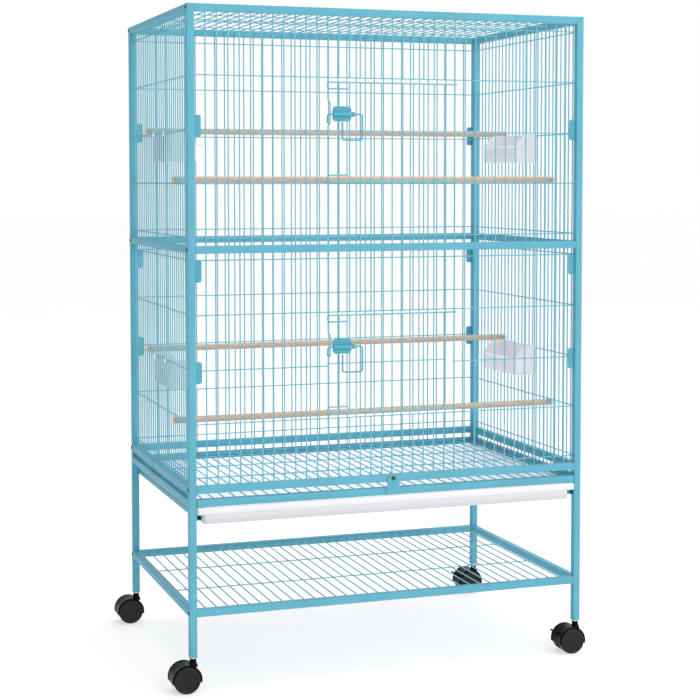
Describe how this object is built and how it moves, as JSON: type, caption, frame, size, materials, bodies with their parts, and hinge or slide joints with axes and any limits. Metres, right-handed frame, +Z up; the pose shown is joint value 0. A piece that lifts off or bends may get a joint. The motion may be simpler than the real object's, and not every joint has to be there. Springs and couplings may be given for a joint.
{
  "type": "bird cage on stand",
  "caption": "Tall wire flight cage on a wheeled square-tube stand, with latched front doors, perches, feeders, slide-out tray, grate and a wire shelf below.",
  "frame": {"origin": "on the floor, below the middle of the box around the whole cage with its casters trailing to the left", "axes": "+X to the right seen from the doors, +Y from the doors to the back, +Z up"},
  "size_m": [0.832, 0.551, 1.249],
  "materials": {
    "blue_frame": "light blue powder coat, satin",
    "blue_wire": "light blue powder-coated wire, satin",
    "blue_fittings": "light blue powder coat, satin",
    "tray_plastic": "white moulded plastic, satin",
    "feeder_plastic": "milky white moulded plastic",
    "perch_wood": "bare turned softwood",
    "caster_plastic": "black moulded plastic",
    "wheel_plastic": "black moulded plastic",
    "screw_steel": "dark bronze plated steel",
    "stem_steel": "zinc plated"
  },
  "bodies": {
    "frame": {"back_base_rail": "blue_frame", "back_left_post": "blue_frame", "back_lower_mesh": "blue_wire", "back_lower_rail": "blue_frame", "back_middle_rail": "blue_frame", "back_right_post": "blue_frame", "back_top_rail": "blue_frame", "back_upper_mesh": "blue_wire", "base_wires": "blue_wire", "caster_stems": "stem_steel", "frame_screws": "screw_steel", "front_left_post": "blue_frame", "front_lower_mesh": "blue_wire", "front_lower_rail": "blue_frame", "front_middle_rail": "blue_frame", "front_right_post": "blue_frame", "front_top_rail": "blue_frame", "front_upper_mesh": "blue_wire", "grate_bar": "blue_frame", "grate_mesh": "blue_wire", "left_lower_mesh": "blue_wire", "left_runner": "blue_frame", "left_side_rails": "blue_frame", "left_upper_mesh": "blue_wire", "lock_screw": "screw_steel", "lower_back_perch": "perch_wood", "lower_front_perch": "perch_wood", "lower_left_feeder": "feeder_plastic", "lower_right_feeder": "feeder_plastic", "panel_clips": "blue_frame", "right_lower_mesh": "blue_wire", "right_runner": "blue_frame", "right_side_rails": "blue_frame", "right_upper_mesh": "blue_wire", "roof_mesh": "blue_wire", "shelf_frame": "blue_frame", "shelf_mesh": "blue_wire", "upper_back_perch": "perch_wood", "upper_front_perch": "perch_wood", "upper_left_feeder": "feeder_plastic", "upper_right_feeder": "feeder_plastic"},
    "upper_door": {"upper_door": "blue_wire", "upper_latch_plate": "blue_fittings"},
    "upper_latch": {"upper_latch": "blue_fittings"},
    "lower_door": {"lower_door": "blue_wire", "lower_latch_plate": "blue_fittings"},
    "lower_latch": {"lower_latch": "blue_fittings"},
    "lock": {"lock_plate": "blue_frame"},
    "tray": {"tray": "tray_plastic"},
    "front_left_caster": {"front_left_caster": "caster_plastic"},
    "front_left_wheels": {"front_left_wheels": "wheel_plastic"},
    "front_right_caster": {"front_right_caster": "caster_plastic"},
    "front_right_wheels": {"front_right_wheels": "wheel_plastic"},
    "front_right_brake": {"front_right_brake": "caster_plastic"},
    "back_left_caster": {"back_left_caster": "caster_plastic"},
    "back_left_wheels": {"back_left_wheels": "wheel_plastic"},
    "back_right_caster": {"back_right_caster": "caster_plastic"},
    "back_right_wheels": {"back_right_wheels": "wheel_plastic"},
    "back_right_brake": {"back_right_brake": "caster_plastic"}
  },
  "joints": [
    {"name": "upper_door_swing", "type": "hinge", "parent": "frame", "child": "upper_door", "pos_m": [0.142, -0.253, 1.024], "axis": [0, 0, 1], "range_deg": [0, 160]},
    {"name": "upper_latch_turn", "type": "hinge", "parent": "upper_door", "child": "upper_latch", "pos_m": [-0.08, -0.26, 1.054], "axis": [-1, 0, 0], "range_deg": [0, 110]},
    {"name": "lower_door_swing", "type": "hinge", "parent": "frame", "child": "lower_door", "pos_m": [0.142, -0.253, 0.592], "axis": [0, 0, 1], "range_deg": [0, 160]},
    {"name": "lower_latch_turn", "type": "hinge", "parent": "lower_door", "child": "lower_latch", "pos_m": [-0.08, -0.26, 0.622], "axis": [-1, 0, 0], "range_deg": [0, 110]},
    {"name": "lock_turn", "type": "hinge", "parent": "frame", "child": "lock", "pos_m": [0.015, -0.2611, 0.3695], "axis": [0, 1, 0], "range_deg": [-120, 120]},
    {"name": "tray_slide", "type": "slide", "parent": "frame", "child": "tray", "axis": [0, -1, 0], "range_m": [0, 0.46]},
    {"name": "front_left_swivel", "type": "hinge", "parent": "frame", "child": "front_left_caster", "pos_m": [-0.373, -0.253, 0.055], "axis": [0, 0, 1], "continuous": true},
    {"name": "front_left_roll", "type": "hinge", "parent": "front_left_caster", "child": "front_left_wheels", "pos_m": [-0.388, -0.253, 0.025], "axis": [0, 1, 0], "continuous": true},
    {"name": "front_right_swivel", "type": "hinge", "parent": "frame", "child": "front_right_caster", "pos_m": [0.403, -0.253, 0.055], "axis": [0, 0, 1], "continuous": true},
    {"name": "front_right_roll", "type": "hinge", "parent": "front_right_caster", "child": "front_right_wheels", "pos_m": [0.388, -0.253, 0.025], "axis": [0, 1, 0], "continuous": true},
    {"name": "front_right_brake_press", "type": "hinge", "parent": "front_right_caster", "child": "front_right_brake", "pos_m": [0.36141, -0.253, 0.04035], "axis": [0, -1, 0], "range_deg": [0, 30]},
    {"name": "back_left_swivel", "type": "hinge", "parent": "frame", "child": "back_left_caster", "pos_m": [-0.373, 0.253, 0.055], "axis": [0, 0, 1], "continuous": true},
    {"name": "back_left_roll", "type": "hinge", "parent": "back_left_caster", "child": "back_left_wheels", "pos_m": [-0.388, 0.253, 0.025], "axis": [0, 1, 0], "continuous": true},
    {"name": "back_right_swivel", "type": "hinge", "parent": "frame", "child": "back_right_caster", "pos_m": [0.403, 0.253, 0.055], "axis": [0, 0, 1], "continuous": true},
    {"name": "back_right_roll", "type": "hinge", "parent": "back_right_caster", "child": "back_right_wheels", "pos_m": [0.388, 0.253, 0.025], "axis": [0, 1, 0], "continuous": true},
    {"name": "back_right_brake_press", "type": "hinge", "parent": "back_right_caster", "child": "back_right_brake", "pos_m": [0.36141, 0.253, 0.04035], "axis": [0, -1, 0], "range_deg": [0, 30]}
  ]
}
